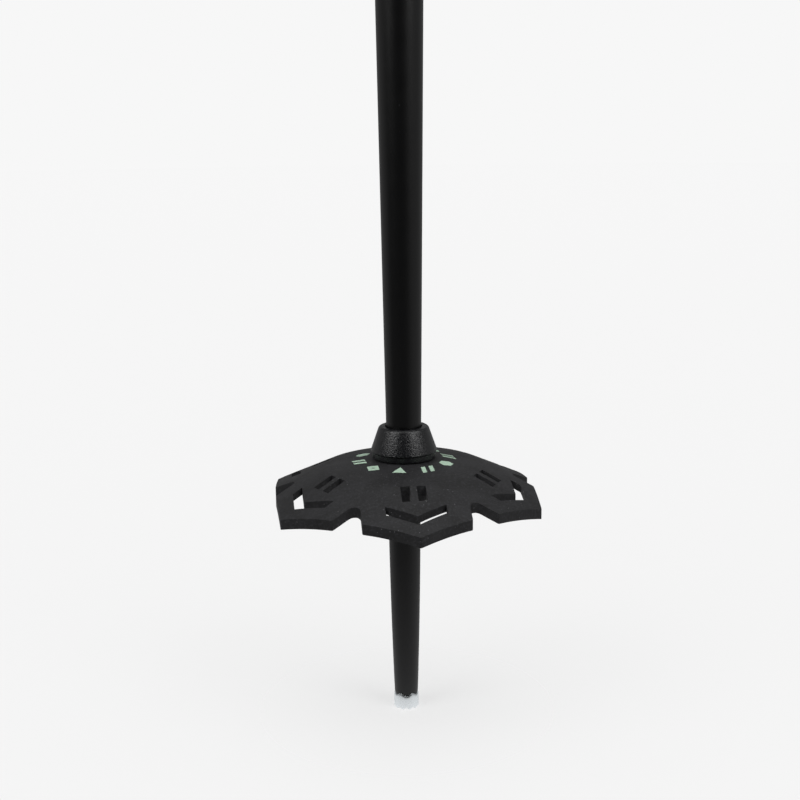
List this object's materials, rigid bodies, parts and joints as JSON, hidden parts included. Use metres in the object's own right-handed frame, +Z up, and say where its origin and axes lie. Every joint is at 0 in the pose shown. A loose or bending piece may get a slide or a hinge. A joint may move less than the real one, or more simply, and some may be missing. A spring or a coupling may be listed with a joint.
{
  "type": "trekking pole",
  "caption": "Telescoping trekking pole with a lobed snow basket, crown tip, cam lever lock, foam grip and wrist strap.",
  "frame": {"origin": "point where the crown tip meets the ground, on the pole's axis", "axes": "+Z up the pole to the grip; +Y towards the wrist strap; -Y towards the lock's ears"},
  "size_m": [0.089, 0.1265, 1.2],
  "materials": {
    "shaft_black": "matte black powder-coated aluminium tube",
    "ferrule_black": "satin moulded nylon",
    "collar_black": "spark-eroded moulded nylon with a soft gloss",
    "basket_black": "matte moulded elastomer with a fine texture",
    "tip_steel": "bright turned steel",
    "lock_black": "satin glass-filled nylon",
    "lever_black": "fine-textured glass-filled nylon",
    "hardware_steel": "zinc-plated steel",
    "foam_black": "closed-cell EVA foam, ground finish",
    "grip_black": "soft-touch moulded polymer",
    "accent_mint": "mint green moulded trim",
    "bush_white": "natural acetal",
    "strap_black": "woven polyester webbing"
  },
  "bodies": {
    "upper": {"upper_shaft": "shaft_black", "lock_housing": "lock_black", "screw_washer": "hardware_steel", "cam_pad": "hardware_steel", "lever_barrel": "hardware_steel", "foam_end_ring": "grip_black", "lower_foam": "foam_black", "grip_ring": "accent_mint", "grip_foam": "foam_black", "grip_head": "grip_black", "grip_cap": "grip_black", "grip_plug": "bush_white", "strap_pin": "hardware_steel"},
    "lower": {"lower_shaft": "shaft_black", "guide_bush": "bush_white", "ferrule": "ferrule_black", "shaft_collar": "collar_black", "crown_tip": "tip_steel"},
    "snow_basket": {"basket": "basket_black"},
    "lever": {"lock_lever": "lever_black"},
    "screw": {"tension_screw": "hardware_steel", "screw_knob": "lever_black"},
    "strap": {"wrist_strap": "strap_black", "strap_keeper": "grip_black"}
  },
  "joints": [
    {"name": "length_adjust", "type": "slide", "parent": "lower", "child": "upper", "axis": [0, 0, 1], "range_m": [-0.15, 0.2]},
    {"name": "basket_turn", "type": "hinge", "parent": "lower", "child": "snow_basket", "pos_m": [0, 0, 0.085], "axis": [0, 0, 1], "continuous": true},
    {"name": "lever_turn", "type": "hinge", "parent": "upper", "child": "lever", "pos_m": [-0.0114, -0.017, 0.44], "axis": [0, 0, 1], "range_deg": [0, 125]},
    {"name": "screw_turn", "type": "hinge", "parent": "upper", "child": "screw", "pos_m": [0, -0.017, 0.44], "axis": [1, 0, 0], "continuous": true},
    {"name": "strap_swing", "type": "hinge", "parent": "upper", "child": "strap", "pos_m": [0, 0.006, 1.182], "axis": [1, 0, 0], "range_deg": [0, 45]}
  ]
}
